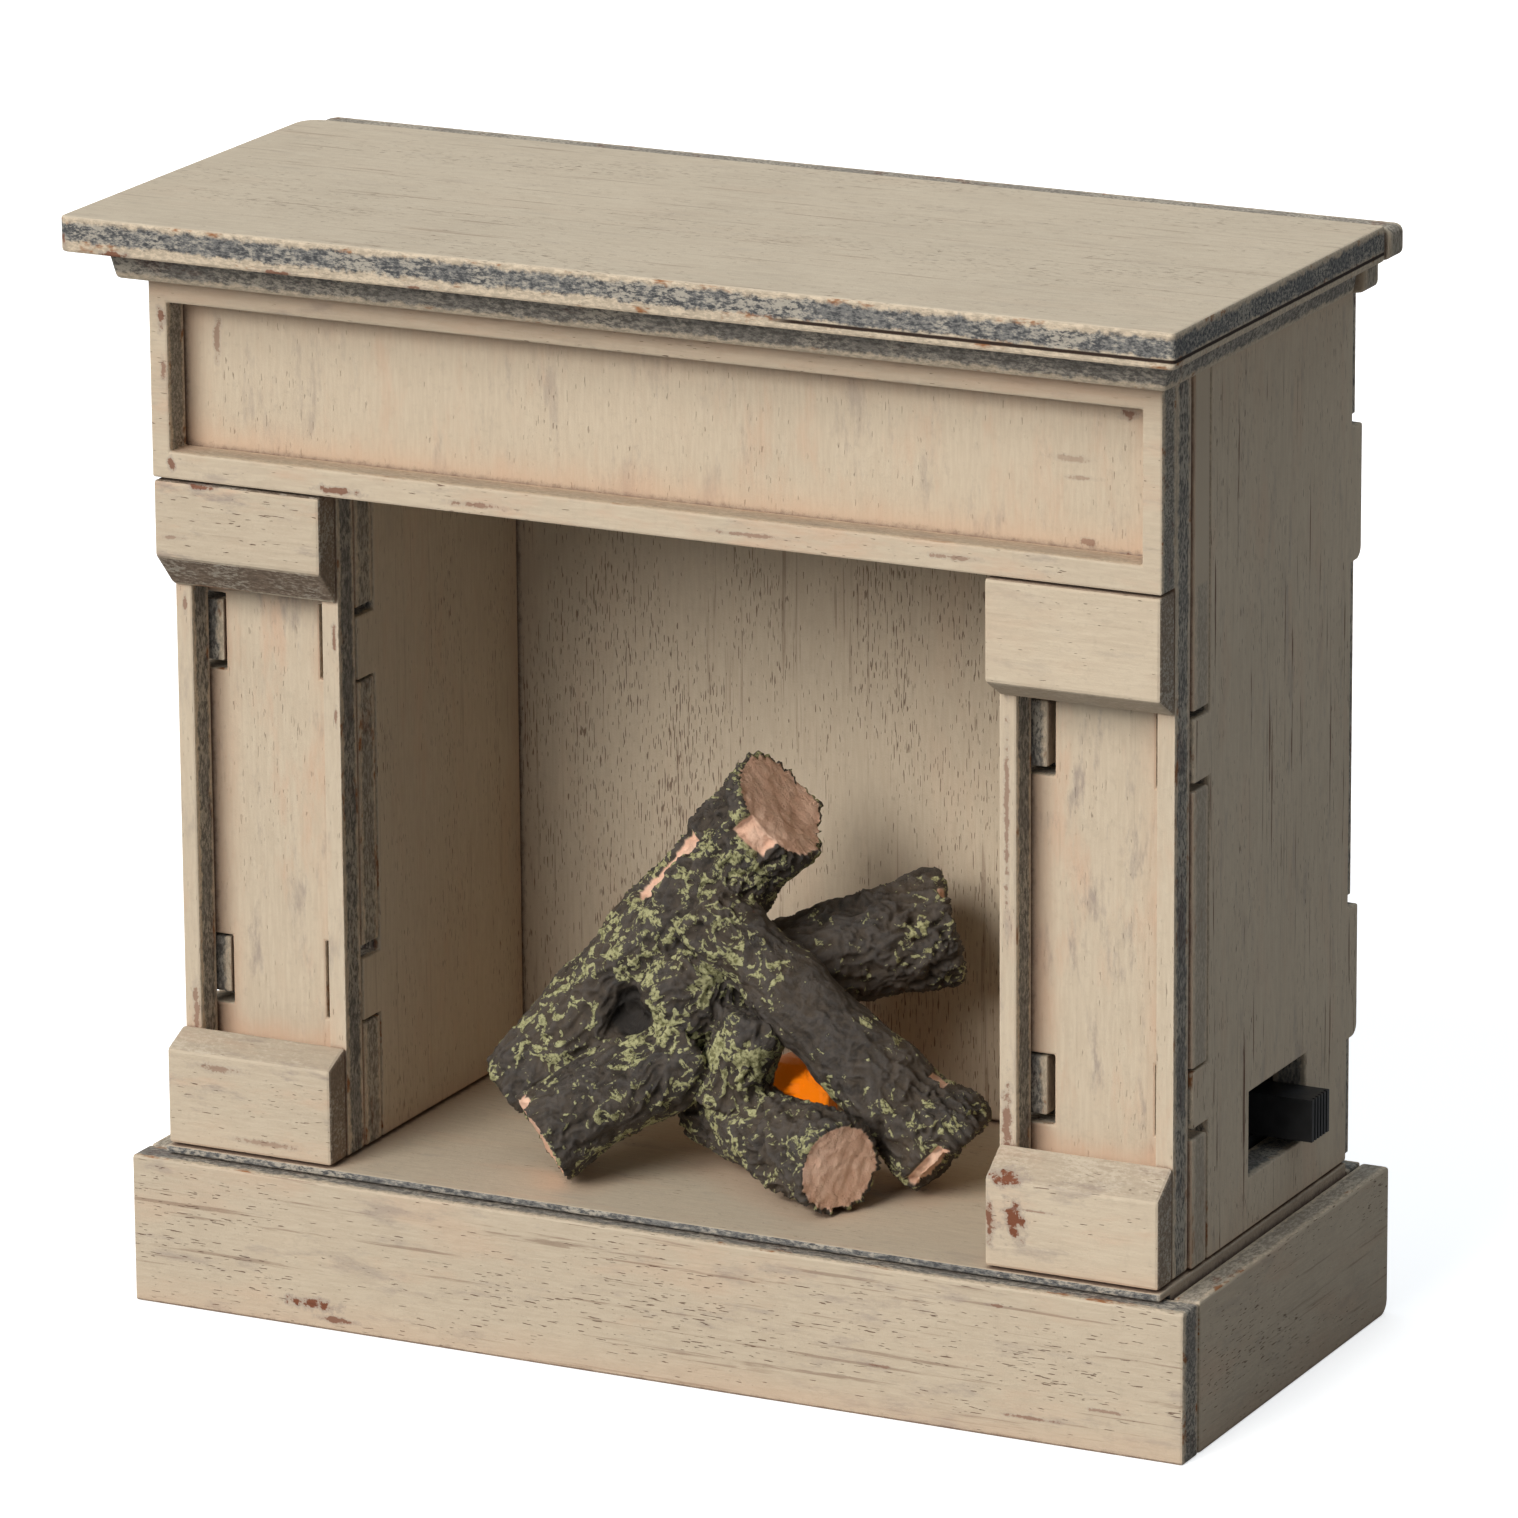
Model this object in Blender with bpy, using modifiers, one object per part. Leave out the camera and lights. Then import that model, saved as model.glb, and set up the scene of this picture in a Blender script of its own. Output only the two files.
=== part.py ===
"""Dolls' house fireplace mantel: laser-cut ply boards, a cast log stack and a battery light.

Metres, +Z up. The origin is under the middle of the whole mantel. X runs across the front, +Y to the back.
Sizes below are written in millimetres through MM, with y counted from the front of the base.
"""

import math

import bmesh
import bpy
from mathutils import Matrix, Vector

MM = 0.001
GAP = 0.3                      # clearance between touching pieces
PLY = 4.0                      # pitch of the ply layers
SHEET = PLY - GAP              # thickness of one layered board
ARRIS = 0.25                   # worn edge of a ply board

# base
BASE_HALF = 63.0
BASE_DEPTH = 54.9
BASE_TOP = 16.8
BASE_SIDE = 3.1                # thickness of the side boards of the base
FLOOR_TOP = 17.9
FLOOR_FRONT = 1.6

# front layers, counted backwards from the frieze
FRAME_Y = 1.8
OVERLAY_Y = FRAME_Y + PLY
BOARD_Y = OVERLAY_Y + PLY
CARCASE_Y = BOARD_Y + PLY      # where the side panels and cheeks begin
BODY_HALF = 59.6
STAND_Z = FLOOR_TOP + GAP      # underside of everything that stands on the hearth floor
BODY_TOP = 115.4
FRIEZE_BOTTOM = 93.3
MOUTH_HALF = 39.1              # half the width of the firebox
OVERLAY_HALF = 59.2
FRIEZE_HALF = 59.4
FRIEZE_FIELD_HALF = 57.15
FRIEZE_FIELD_Z = (96.3, 112.7)

# pilaster blocks: their sides, and where the face and the chamfer of each one end
BLOCK_LEFT_X = (-59.3, -39.1)
BLOCK_RIGHT_X = (39.3, 59.3)
CAP_LEFT = (84.6, 80.5)
CAP_RIGHT = (81.9, 79.6)
PLINTH_LEFT = (29.0, 30.7)
PLINTH_RIGHT = (28.0, 30.7)
BLOCK_ARRIS = 0.35

# boards inside
CEILING_Z = (94.0, 97.7)
BASE_PLATE_Z = (0.8, 3.2)

# back
BACK_Y = 47.2
BACK_END = BACK_Y + SHEET
REAR_COVER_Y = BACK_END + GAP
REAR_COVER_END = 53.6
REAR_COVER_HALF = 58.7
BACK_HALF = 55.3               # between the side panels
REAR_SLOT_SPARE = 0.9          # a rear slot is this much taller than its tab
HATCH_X = (44.0, 54.4)         # opening in the back panel for the battery box
HATCH_Z = (19.6, 87.9)

# shelf and cornice
SHELF_HALF = 64.8
SHELF_FRONT = -7.4
SHELF_TOP = 123.4
SHELF_BOTTOM = 119.5
CORNICE_HALF = 62.0
CORNICE_FRONT = -2.35
CORNICE_TOP = SHELF_BOTTOM - GAP
CORNICE_BOTTOM = BODY_TOP + GAP
CORNICE_SPLAY = 0.7            # how far the lower edge of the cornice is set in
EAR_SHELF_HALF = 65.2
EAR_CORNICE_HALF = 62.4
EAR_TOP = 122.9

# tabs of the side panels and cheeks: (low z, high z) of the tab, then of its slot
SIDE_TABS = ((33.6, 39.9, 32.4, 40.2), (71.2, 78.1, 70.3, 79.0))
LEFT_CHEEK_TABS = ((32.5, 39.5, 32.2, 41.0), (70.9, 78.0, 70.6, 79.0))
RIGHT_CHEEK_TABS = ((32.9, 39.4, 32.0, 39.7), (71.0, 78.2, 70.2, 78.5))
REAR_TABS = ((31.8, 46.6), (85.2, 100.1))
SLOT_MARGIN = 0.6              # a slot for a cheek is this much wider than the tab's thickness
TAB_TIP = BOARD_Y + 0.1        # the tabs end just behind the front of the face board

# pilasters
STILE = 2.05
PILASTER_LOW = 28.0
PILASTER_HIGH = 82.5

# window in the right side panel, and the switch knob in it
WINDOW_Y = (24.6, 39.7)
WINDOW_Z = (24.0, 33.5)
KNOB_Y = (34.7, 39.3)
KNOB_Z = (25.3, 30.0)
KNOB_X = (52.5, 62.5)
KNOB_TRAVEL = 4.0
RIBS = 6
RIB_DEPTH = 0.35
SWITCH_X = (45.4, 52.2)
SWITCH_Y = (27.2, 43.0)
SWITCH_Z = (22.2, 32.4)

# battery box, standing in the hollow of the right pilaster
BOX_X = (43.1, 55.3)
BOX_Y = (23.9, 46.9)
BOX_Z = (19.0, 88.0)
BOX_WALL = 0.7
SWITCH_BAY_TOP = 33.8
CELL_BAY = (34.5, 81.8)
CELL_R = 5.2
CELL_LENGTH = 43.5
NUB_R = 1.9
NUB_HEIGHT = 0.8
CELL_Y = (29.95, 40.95)
CELL_FOOT = (36.6, 36.3)       # height of each cell's underside
COVER_X = (44.4, 53.9)
COVER_Z = (20.0, 87.7)
PAD_X = (45.2, 53.2)           # pad on the cover that holds the cells
PAD_Z = (38.0, 79.0)
PAD_FRONT = 47.6
SCREW_Z = 84.9
SCREW_R = 0.75
SCREW_HOLE_R = 1.0
SCREW_HEAD_R = 1.6
SCREW_FACE_Y = 53.4
CROSS = (0.5, 2.2)             # width and length of the screw's cross recess
CROSS_FLOOR_Y = 52.8
SHEET_METAL = 0.3
BRIDGE_X = (44.6, 53.8)
BRIDGE_Y = (25.4, 46.0)
PLATE_X = (45.6, 52.8)
PLATE_Y = (37.4, 44.6)
SPRING_R = 3.0
SPRING_WIRE_R = 0.2
SPRING_LOW_Z = (34.95, 36.05)
SPRING_HIGH_Z = (80.2, 80.75)

# light under the logs
LAMP = (3.0, 31.0)
LAMP_R = 1.5
LED_Z = (13.0, 20.4)
LENS_R = 4.4
LENS_WALL = 0.8
LENS_TOP = 28.4
LEAD_SLOT_X = (45.4, 52.8)     # opening in the hearth floor for the leads
LEAD_SLOT_Y = (26.6, 33.4)
LEAD_HOLE_X = (47.9, 50.3)     # opening in the foot of the battery box
LEAD_HOLE_Y = (27.4, 32.6)
LEAD_R = 0.6
LEAD_DROP = 10.6               # height at which the leads run under the floor

MIDDLE = (SHELF_FRONT + BASE_DEPTH) / 2

PAINT = ((0.58, 0.48, 0.35), 0.85, 0.0)
BARK = ((0.035, 0.03, 0.024), 0.9, 0.0)
BLACK = ((0.012, 0.012, 0.013), 0.5, 0.0)
STEEL = ((0.62, 0.62, 0.6), 0.3, 1.0)
AMBER = ((0.85, 0.25, 0.02), 0.25, 0.0)
CELL_WRAP = ((0.05, 0.16, 0.10), 0.4, 0.0)
WARM_WHITE = ((0.9, 0.75, 0.45), 0.2, 0.0)
RED = ((0.5, 0.02, 0.015), 0.5, 0.0)


def place(x, y, z):
    """A point given in millimetres from the base's front, as a world point in metres."""
    return Vector((x, y - MIDDLE, z)) * MM


def new_collection(name):
    collection = bpy.data.collections.new(name)
    bpy.context.scene.collection.children.link(collection)
    return collection


def set_material(obj, look):
    """Gives an object its own Principled material."""
    colour, roughness, metallic = look
    material = bpy.data.materials.new(obj.name)
    material.use_nodes = True
    shader = material.node_tree.nodes["Principled BSDF"]
    shader.inputs["Base Color"].default_value = (*colour, 1.0)
    shader.inputs["Roughness"].default_value = roughness
    shader.inputs["Metallic"].default_value = metallic
    obj.data.materials.clear()
    obj.data.materials.append(material)


def from_bmesh(name, bm, look=None, collection=None):
    mesh = bpy.data.meshes.new(name)
    bm.to_mesh(mesh)
    bm.free()
    obj = bpy.data.objects.new(name, mesh)
    (collection or PARTS).objects.link(obj)
    if look:
        set_material(obj, look)
    return obj


def box(name, x, y, z, look=None, collection=None):
    """A box between pairs of limits in millimetres, with its origin at its centre."""
    bm = bmesh.new()
    bmesh.ops.create_cube(bm, size=1.0)
    size = Vector((x[1] - x[0], y[1] - y[0], z[1] - z[0])) * MM
    bmesh.ops.scale(bm, vec=size, verts=bm.verts)
    obj = from_bmesh(name, bm, look, collection)
    obj.location = place(sum(x) / 2, sum(y) / 2, sum(z) / 2)
    return obj


def cylinder(name, centre, axis, radius, length, look=None, collection=None, sides=32, end_radius=None):
    """A cylinder or cone in millimetres whose axis starts at centre and runs along axis."""
    bm = bmesh.new()
    end = radius if end_radius is None else end_radius
    bmesh.ops.create_cone(
        bm, cap_ends=True, segments=sides, radius1=radius * MM, radius2=end * MM, depth=length * MM
    )
    bmesh.ops.translate(bm, vec=(0, 0, length * MM / 2), verts=bm.verts)
    obj = from_bmesh(name, bm, look, collection)
    obj.location = place(*centre)
    obj.rotation_mode = "QUATERNION"
    obj.rotation_quaternion = Vector(axis).to_track_quat("Z", "Y")
    obj.data.shade_smooth()
    obj.data.set_sharp_from_angle(angle=math.radians(40))
    return obj


def arris(obj, width=ARRIS, segments=2):
    """Rounds an object's sharp edges."""
    bevel = obj.modifiers.new("arris", "BEVEL")
    bevel.width = width * MM
    bevel.segments = segments
    bevel.limit_method = "ANGLE"
    bevel.angle_limit = math.radians(35)
    return obj


def boolean(obj, other, operation):
    modifier = obj.modifiers.new(other.name, "BOOLEAN")
    modifier.operation = operation
    modifier.solver = "EXACT"
    modifier.object = other
    other.hide_render = True
    other.display_type = "WIRE"
    return obj


def cut(obj, *cutters):
    for cutter in cutters:
        boolean(obj, cutter, "DIFFERENCE")
    return obj


def rectangle(u, v):
    return [(u[0], v[0]), (u[1], v[0]), (u[1], v[1]), (u[0], v[1])]


def rounded(outline, radii, steps=4):
    """Replaces the outline's corners by arcs; radii maps a corner's number to its radius."""
    points = []
    count = len(outline)
    for n, corner in enumerate(outline):
        radius = radii.get(n, 0.0)
        if not radius:
            points.append(corner)
            continue
        here = Vector(corner)
        before = (Vector(outline[n - 1]) - here).normalized()
        after = (Vector(outline[(n + 1) % count]) - here).normalized()
        centre = here + (before + after) * radius
        for step in range(steps + 1):
            turn = step / steps * math.pi / 2
            spoke = -after * math.cos(turn) - before * math.sin(turn)
            points.append(tuple(centre + spoke * radius))
    return points


# how a flat outline lies in the world: its u, v and thickness directions
FRONT_VIEW = Matrix(((1, 0, 0), (0, 0, -1), (0, 1, 0))).to_4x4()
SIDE_VIEW = Matrix(((0, 0, 1), (1, 0, 0), (0, 1, 0))).to_4x4()
TOP_VIEW = Matrix.Identity(4)


def board(name, view, level, outline, holes=(), look=PAINT, width=ARRIS):
    """A flat board cut from an outline in millimetres; level is (low, high) across its thickness."""
    curve = bpy.data.curves.new(name, "CURVE")
    curve.dimensions = "2D"
    curve.fill_mode = "BOTH"
    curve.extrude = (level[1] - level[0]) / 2 * MM
    shift_u = 0.0 if view is not SIDE_VIEW else -MIDDLE
    shift_v = 0.0 if view is not TOP_VIEW else -MIDDLE
    for ring in (outline, *holes):
        spline = curve.splines.new("POLY")
        spline.points.add(len(ring) - 1)
        spline.use_cyclic_u = True
        for point, (u, v) in zip(spline.points, ring):
            point.co = ((u + shift_u) * MM, (v + shift_v) * MM, 0.0, 1.0)
    flat = bpy.data.objects.new(name + "_outline", curve)
    PARTS.objects.link(flat)
    middle = (level[0] + level[1]) / 2
    if view is FRONT_VIEW:
        middle -= MIDDLE
    across = Vector((0.0, 0.0, middle * MM))
    if view is FRONT_VIEW:
        across.z = -across.z
    flat.matrix_world = view @ Matrix.Translation(across)
    bpy.context.view_layer.update()
    mesh = bpy.data.meshes.new_from_object(flat.evaluated_get(bpy.context.evaluated_depsgraph_get()))
    bm = bmesh.new()
    bm.from_mesh(mesh)
    bmesh.ops.remove_doubles(bm, verts=bm.verts, dist=0.000001)
    bmesh.ops.dissolve_limit(bm, angle_limit=math.radians(1), verts=bm.verts, edges=bm.edges)
    bmesh.ops.recalc_face_normals(bm, faces=bm.faces)
    obj = from_bmesh(name, bm, look)
    obj.matrix_world = flat.matrix_world
    bpy.data.objects.remove(flat)
    if width:
        arris(obj, width)
    return obj


def mirrored(outline):
    return [(-u, v) for u, v in reversed(outline)]


def make_shelf():
    plan = rectangle((-SHELF_HALF, SHELF_HALF), (SHELF_FRONT, BACK_Y - GAP))
    plan = rounded(plan, {0: 0.9, 1: 0.6, 2: 0.4, 3: 2.6})
    board("mantel_shelf", TOP_VIEW, (SHELF_BOTTOM, SHELF_TOP), plan, width=0.3)
    plan = rectangle((-CORNICE_HALF, CORNICE_HALF), (CORNICE_FRONT, BACK_Y - GAP))
    cornice = board("cornice_board", TOP_VIEW, (CORNICE_BOTTOM, CORNICE_TOP), plan, width=0.45)
    splay = CORNICE_SPLAY * MM
    front = min(vertex.co.y for vertex in cornice.data.vertices)
    for vertex in cornice.data.vertices:
        if vertex.co.z < 0:
            vertex.co.x -= math.copysign(splay, vertex.co.x)
            if vertex.co.y < front + splay:
                vertex.co.y += splay


def make_back():
    ears = [
        (-BACK_HALF, STAND_Z),
        (BACK_HALF, STAND_Z),
        (BACK_HALF, CORNICE_BOTTOM),
        (EAR_CORNICE_HALF, CORNICE_BOTTOM),
        (EAR_CORNICE_HALF, SHELF_BOTTOM),
        (EAR_SHELF_HALF, SHELF_BOTTOM),
        (EAR_SHELF_HALF, EAR_TOP),
        (-EAR_SHELF_HALF, EAR_TOP),
        (-EAR_SHELF_HALF, SHELF_BOTTOM),
        (-EAR_CORNICE_HALF, SHELF_BOTTOM),
        (-EAR_CORNICE_HALF, CORNICE_BOTTOM),
        (-BACK_HALF, CORNICE_BOTTOM),
    ]
    outline = rounded(ears, {3: 0.8, 5: 0.8, 6: 0.9, 7: 2.4, 8: 0.8, 10: 0.8})
    hatch = rectangle(HATCH_X, HATCH_Z)
    board("back_panel", FRONT_VIEW, (BACK_Y, BACK_END), outline, [hatch])

    half = REAR_COVER_HALF
    notch = BACK_HALF
    right = [(half, STAND_Z)]
    for low, high in REAR_TABS:
        top = high + REAR_SLOT_SPARE
        right += [(half, low - GAP), (notch, low - GAP), (notch, top), (half, top)]
    right.append((half, BODY_TOP - GAP))
    outline = right + mirrored(right)
    hatch = rectangle((COVER_X[0] - GAP, COVER_X[1] + GAP), (COVER_Z[0] - GAP, COVER_Z[1] + GAP))
    board("rear_cover", FRONT_VIEW, (REAR_COVER_Y, REAR_COVER_END), outline, [hatch])


def notch_pair(edge, depth, tabs, side):
    """Points of the open slots up one edge of a board at u = side * edge, going upwards."""
    points = []
    for _, _, low, high in tabs:
        inner = side * (edge - depth)
        points += [(side * edge, low), (inner, low), (inner, high), (side * edge, high)]
    return points


def make_front():
    snug, loose = PLY + GAP, PLY + SLOT_MARGIN
    right_outer = notch_pair(BODY_HALF, snug, SIDE_TABS, 1)
    left_outer = notch_pair(BODY_HALF, snug, SIDE_TABS, -1)
    right_inner = notch_pair(MOUTH_HALF, -loose, RIGHT_CHEEK_TABS, 1)
    left_inner = notch_pair(MOUTH_HALF, -loose, LEFT_CHEEK_TABS, -1)
    outline = [(MOUTH_HALF, STAND_Z), (BODY_HALF, STAND_Z)]
    outline += right_outer + [(BODY_HALF, BODY_TOP), (-BODY_HALF, BODY_TOP)]
    outline += left_outer[::-1] + [(-BODY_HALF, STAND_Z), (-MOUTH_HALF, STAND_Z)]
    outline += left_inner + [(-MOUTH_HALF, FRIEZE_BOTTOM), (MOUTH_HALF, FRIEZE_BOTTOM)]
    outline += right_inner[::-1]
    board("face_board", FRONT_VIEW, (BOARD_Y, BOARD_Y + SHEET), outline)

    half = OVERLAY_HALF
    outline = [
        (MOUTH_HALF, STAND_Z),
        (half, STAND_Z),
        (half, BODY_TOP),
        (-half, BODY_TOP),
        (-half, STAND_Z),
        (-MOUTH_HALF, STAND_Z),
        (-MOUTH_HALF, FRIEZE_BOTTOM),
        (MOUTH_HALF, FRIEZE_BOTTOM),
    ]
    field = rectangle((MOUTH_HALF + STILE, half - STILE), (PILASTER_LOW, PILASTER_HIGH))
    board("surround_overlay", FRONT_VIEW, (OVERLAY_Y, OVERLAY_Y + SHEET), outline, [field, mirrored(field)])

    frame = rectangle((-FRIEZE_HALF, FRIEZE_HALF), (FRIEZE_BOTTOM, BODY_TOP))
    field = rectangle((-FRIEZE_FIELD_HALF, FRIEZE_FIELD_HALF), FRIEZE_FIELD_Z)
    board("frieze_frame", FRONT_VIEW, (FRAME_Y, FRAME_Y + SHEET), frame, [field])


def block(name, x, front, chamfered):
    """A pilaster block: front is the span of its face in z, and its chamfer runs back to chamfered."""
    back = FRAME_Y + SHEET
    if chamfered < front[0]:
        profile = [(FRAME_Y, front[0]), (back, chamfered), (back, front[1]), (FRAME_Y, front[1])]
    else:
        profile = [(FRAME_Y, front[0]), (back, front[0]), (back, chamfered), (FRAME_Y, front[1])]
    return board(name, SIDE_VIEW, x, profile, width=BLOCK_ARRIS)


def make_blocks():
    high = FRIEZE_BOTTOM - GAP
    for side, x, cap, plinth in (
        ("left", BLOCK_LEFT_X, CAP_LEFT, PLINTH_LEFT),
        ("right", BLOCK_RIGHT_X, CAP_RIGHT, PLINTH_RIGHT),
    ):
        block("cap_block_" + side, x, (cap[0], high), cap[1])
        block("plinth_block_" + side, x, (STAND_Z, plinth[0]), plinth[1])


def make_side(name, x, window=()):
    """A side panel: tabs through the face board in front, and through the rear cover behind."""
    outline = [(CARCASE_Y, STAND_Z), (BACK_END, STAND_Z)]
    radii = {}
    for low, high in REAR_TABS:
        radii[len(outline) + 1] = 1.3
        radii[len(outline) + 2] = 0.3
        outline += [(BACK_END, low), (REAR_COVER_END, low), (REAR_COVER_END, high), (BACK_END, high)]
    outline += [(BACK_END, BODY_TOP), (CARCASE_Y, BODY_TOP)]
    for low, high, _, _ in reversed(SIDE_TABS):
        outline += [(CARCASE_Y, high), (TAB_TIP, high), (TAB_TIP, low), (CARCASE_Y, low)]
    return board(name, SIDE_VIEW, x, rounded(outline, radii), window)


def make_cheek(name, x, tabs):
    """A cheek of the firebox, tabbed through the face board."""
    rear = BACK_Y - GAP
    outline = [(CARCASE_Y, STAND_Z), (rear, STAND_Z), (rear, BODY_TOP), (CARCASE_Y, BODY_TOP)]
    for low, high, _, _ in reversed(tabs):
        outline += [(CARCASE_Y, high), (TAB_TIP, high), (TAB_TIP, low), (CARCASE_Y, low)]
    return board(name, SIDE_VIEW, x, outline)


def make_carcase():
    window = rectangle(WINDOW_Y, WINDOW_Z)
    make_side("side_panel_left", (-BODY_HALF, -BODY_HALF + PLY))
    make_side("side_panel_right", (BODY_HALF - PLY, BODY_HALF), [window])
    make_cheek("cheek_left", (-MOUTH_HALF - SHEET, -MOUTH_HALF), LEFT_CHEEK_TABS)
    make_cheek("cheek_right", (MOUTH_HALF, MOUTH_HALF + SHEET), RIGHT_CHEEK_TABS)
    side = MOUTH_HALF - GAP
    arris(box("firebox_ceiling", (-side, side), (CARCASE_Y, BACK_Y - GAP), CEILING_Z, PAINT))


def make_base():
    face = rectangle((-BASE_HALF, BASE_HALF), (0.0, BASE_TOP))
    board("base_front", FRONT_VIEW, (0.0, PLY), face, width=0.3)
    profile = rounded(rectangle((PLY + GAP, BASE_DEPTH), (0.0, BASE_TOP)), {1: 1.6, 2: 0.6})
    board("base_left", SIDE_VIEW, (-BASE_HALF, BASE_SIDE - BASE_HALF), profile, width=0.3)
    board("base_right", SIDE_VIEW, (BASE_HALF - BASE_SIDE, BASE_HALF), profile, width=0.3)
    inner = BASE_HALF - BASE_SIDE - GAP
    rear = rectangle((-inner, inner), (0.0, BASE_TOP))
    board("base_back", FRONT_VIEW, (BACK_END + GAP, BASE_DEPTH), rear)
    under = rectangle((-inner, inner), (PLY + GAP, BACK_END))
    board("base_plate", TOP_VIEW, BASE_PLATE_Z, under)

    lip = BASE_TOP + GAP
    slab = FLOOR_TOP - PLY
    step = PLY + GAP
    profile = [
        (FLOOR_FRONT, lip),
        (step, lip),
        (step, slab),
        (BACK_END, slab),
        (BACK_END, FLOOR_TOP),
        (FLOOR_FRONT, FLOOR_TOP),
    ]
    floor = board("hearth_floor", SIDE_VIEW, (-BODY_HALF, BODY_HALF), profile, width=0.2)
    lamp_hole = cylinder(
        "cut_lamp_hole", (*LAMP, slab - 1), (0, 0, 1), LAMP_R + GAP, PLY + 2, collection=CUTTERS, sides=24
    )
    lead_slot = box(
        "cut_lead_slot", LEAD_SLOT_X, LEAD_SLOT_Y, (slab - 1, FLOOR_TOP + 1), collection=CUTTERS
    )
    cut(floor, lamp_hole, lead_slot)


# the casting: each log's ends in millimetres, with the radius at each end; seam and web join the logs
LOGS = (
    ("leaning", (-23.1, 16.0, 24.8), (6.9, 27.1, 61.8), 5.2, 6.2),
    ("foot", (-16.2, 7.6, 22.9), (-3.4, 18.0, 32.1), 5.3, 5.3),
    ("crossing", (-2.0, 19.0, 47.6), (25.6, 22.6, 22.8), 3.9, 5.8),
    ("front", (-3.5, 23.0, 24.4), (17.8, 10.9, 23.2), 4.4, 4.9),
    ("back", (0.0, 26.0, 38.2), (17.0, 39.2, 42.5), 5.2, 6.1),
    ("seam", (-17.5, 13.5, 26.0), (-5.0, 19.0, 36.5), 3.6, 4.6),
    ("web", (4.4, 19.2, 36.5), (1.3, 18.0, 26.5), 4.0, 3.4),
)
KNOT = ((-4.5, 20.0, 37.5), 6.6)
SAW_CUT = ((3.8, 26.0, 58.0), (0.76, -0.04, 0.64))     # slanted end of the leaning log: place and facing
LOG_SIDES = 20


def make_logs():
    """Five crossing logs cast as one piece round a knot."""
    stack = None
    for name, start, end, radius, end_radius in LOGS:
        along = Vector(end) - Vector(start)
        where = PARTS if stack is None else CUTTERS
        node = "log_stack" if stack is None else "join_" + name
        log = cylinder(node, start, along, radius, along.length, None, where, LOG_SIDES, end_radius)
        if stack is None:
            stack = log
        else:
            boolean(stack, log, "UNION")
    centre, radius = KNOT
    bm = bmesh.new()
    bmesh.ops.create_uvsphere(bm, u_segments=16, v_segments=10, radius=radius * MM)
    knot = from_bmesh("join_knot", bm, None, CUTTERS)
    knot.location = place(*centre)
    boolean(stack, knot, "UNION")
    centre, facing = SAW_CUT
    cut(stack, cylinder("cut_saw", centre, facing, 10.0, 8.0, collection=CUTTERS))
    set_material(stack, BARK)


def turned(name, profile, centre, look, axis=(0, 0, 1), steps=24):
    """A solid turned from a profile of (radius, height) that runs down its outer side."""
    mesh = bpy.data.meshes.new(name)
    bm = bmesh.new()
    corners = [bm.verts.new((radius * MM, 0, height * MM)) for radius, height in profile]
    for a, b in zip(corners, corners[1:]):
        bm.edges.new((a, b))
    bm.to_mesh(mesh)
    bm.free()
    obj = bpy.data.objects.new(name, mesh)
    PARTS.objects.link(obj)
    obj.location = place(*centre)
    obj.rotation_mode = "QUATERNION"
    obj.rotation_quaternion = Vector(axis).to_track_quat("Z", "Y")
    screw = obj.modifiers.new("turn", "SCREW")
    screw.steps = steps
    screw.render_steps = steps
    screw.use_merge_vertices = True
    screw.merge_threshold = 0.00001
    screw.use_normal_calculate = False
    set_material(obj, look)
    return obj


def dome(radius, top, base, steps=6):
    """Profile points of a dome from its pole down to its foot."""
    points = []
    for step in range(steps + 1):
        turn = step / steps * math.pi / 2
        points.append((radius * math.sin(turn), top - radius + radius * math.cos(turn)))
    points.append((radius, base))
    return points


def make_light():
    outer = dome(LENS_R, LENS_TOP - STAND_Z, 0.0)
    inner = dome(LENS_R - LENS_WALL, LENS_TOP - STAND_Z - LENS_WALL, 0.0)
    turned("ember_lens", outer + inner[::-1], (*LAMP, STAND_Z), AMBER)
    foot, top = LED_Z
    bulb = dome(LAMP_R, top - foot, 0.0)
    turned("led", bulb + [(0.0, 0.0)], (*LAMP, foot), WARM_WHITE)


def smooth_route(corners, steps=4):
    """Points of a smooth curve through the route's corners, by Catmull-Rom."""
    ends = [corners[0], *corners, corners[-1]]
    points = []
    for a, b, c, d in zip(ends, ends[1:], ends[2:], ends[3:]):
        for step in range(steps):
            t = step / steps
            weights = (
                (-t + 2 * t * t - t**3) / 2,
                (2 - 5 * t * t + 3 * t**3) / 2,
                (t + 4 * t * t - 3 * t**3) / 2,
                (-t * t + t**3) / 2,
            )
            points.append(sum((Vector(p) * w for p, w in zip((a, b, c, d), weights)), Vector()))
    points.append(Vector(corners[-1]))
    return points


def wire(name, points, radius, look):
    curve = bpy.data.curves.new(name, "CURVE")
    curve.dimensions = "3D"
    curve.bevel_depth = radius * MM
    curve.bevel_resolution = 2
    curve.use_fill_caps = True
    spline = curve.splines.new("POLY")
    spline.points.add(len(points) - 1)
    for point, spot in zip(spline.points, points):
        point.co = (*place(*spot), 1.0)
    obj = bpy.data.objects.new(name, curve)
    PARTS.objects.link(obj)
    set_material(obj, look)
    return obj


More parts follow.
